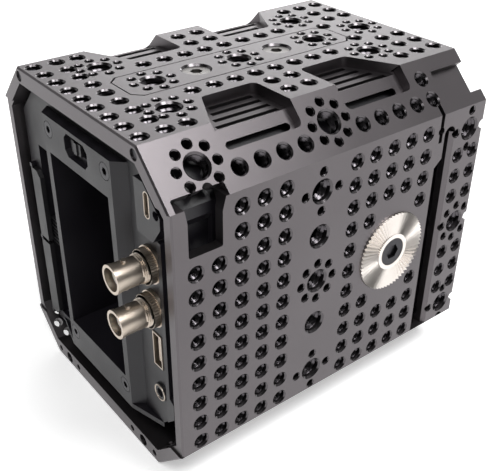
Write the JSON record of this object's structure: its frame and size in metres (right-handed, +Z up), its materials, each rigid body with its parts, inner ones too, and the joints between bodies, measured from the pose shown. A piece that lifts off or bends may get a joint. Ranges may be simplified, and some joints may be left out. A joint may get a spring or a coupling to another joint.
{
  "type": "camera cage",
  "caption": "Octagonal camera cage drilled all over for accessories, with a side rosette, vent windows and a box camera inside.",
  "frame": {"origin": "mouth of the central tripod hole in the underside of the base", "axes": "+X to the side with the rosette, +Y out of the lens, +Z up"},
  "size_m": [0.115, 0.1549, 0.132],
  "materials": {
    "black_anodised": "satin black anodised",
    "bright_steel": "plain satin steel",
    "black_steel": "black oxide",
    "nickel_steel": "bead-blasted nickel plate",
    "nickel_plated": "satin nickel plate",
    "gold_plated": "gold plate",
    "camera_housing": "fine matt black",
    "black_plastic": "matt black",
    "white_plastic": "plain white",
    "sensor_glass": "coated filter glass"
  },
  "bodies": {
    "cage": {"top_plate": "black_anodised", "top_insert_plate": "black_anodised", "insert_screws": "bright_steel", "corner_screws": "black_steel", "side_plate_right": "black_anodised", "side_plate_left": "black_anodised", "rosette": "nickel_steel", "rosette_screw": "black_steel", "base_plate": "black_anodised", "front_frame": "black_anodised", "rear_housing": "camera_housing", "camera_body": "camera_housing", "front_housing": "camera_housing", "rear_panel": "camera_housing", "panel_screws": "black_steel", "battery_contacts": "black_plastic", "jack_shells": "nickel_plated", "jack_nuts": "nickel_plated", "jack_insulators": "white_plastic", "jack_pins": "gold_plated", "video_port": "nickel_plated", "data_port": "nickel_plated", "audio_jack": "black_plastic", "door_hinge_pin": "black_steel", "lens_mount": "bright_steel", "mount_screws": "bright_steel", "sensor_glass": "sensor_glass"},
    "power_switch": {"power_switch": "black_plastic"},
    "upper_door": {"upper_door": "black_plastic"},
    "lower_door": {"lower_door": "black_plastic"},
    "battery_release": {"battery_release": "black_plastic"},
    "lens_release_button": {"lens_release_button": "black_plastic"}
  },
  "joints": [
    {"name": "power_switch_slide", "type": "slide", "parent": "cage", "child": "power_switch", "axis": [1, 0, 0], "range_m": [0, 0.004]},
    {"name": "upper_door_hinge", "type": "hinge", "parent": "cage", "child": "upper_door", "pos_m": [-0.0466, -0.06585, 0.073], "axis": [0, 0, -1], "range_deg": [0, 110]},
    {"name": "lower_door_hinge", "type": "hinge", "parent": "cage", "child": "lower_door", "pos_m": [-0.0466, -0.06585, 0.038], "axis": [0, 0, -1], "range_deg": [0, 110]},
    {"name": "battery_release_slide", "type": "slide", "parent": "cage", "child": "battery_release", "axis": [0, 0, -1], "range_m": [0, 0.004], "stiffness_N_per_m": 200},
    {"name": "lens_release_slide", "type": "slide", "parent": "cage", "child": "lens_release_button", "axis": [0, -1, 0], "range_m": [0, 0.0015], "stiffness_N_per_m": 300}
  ]
}
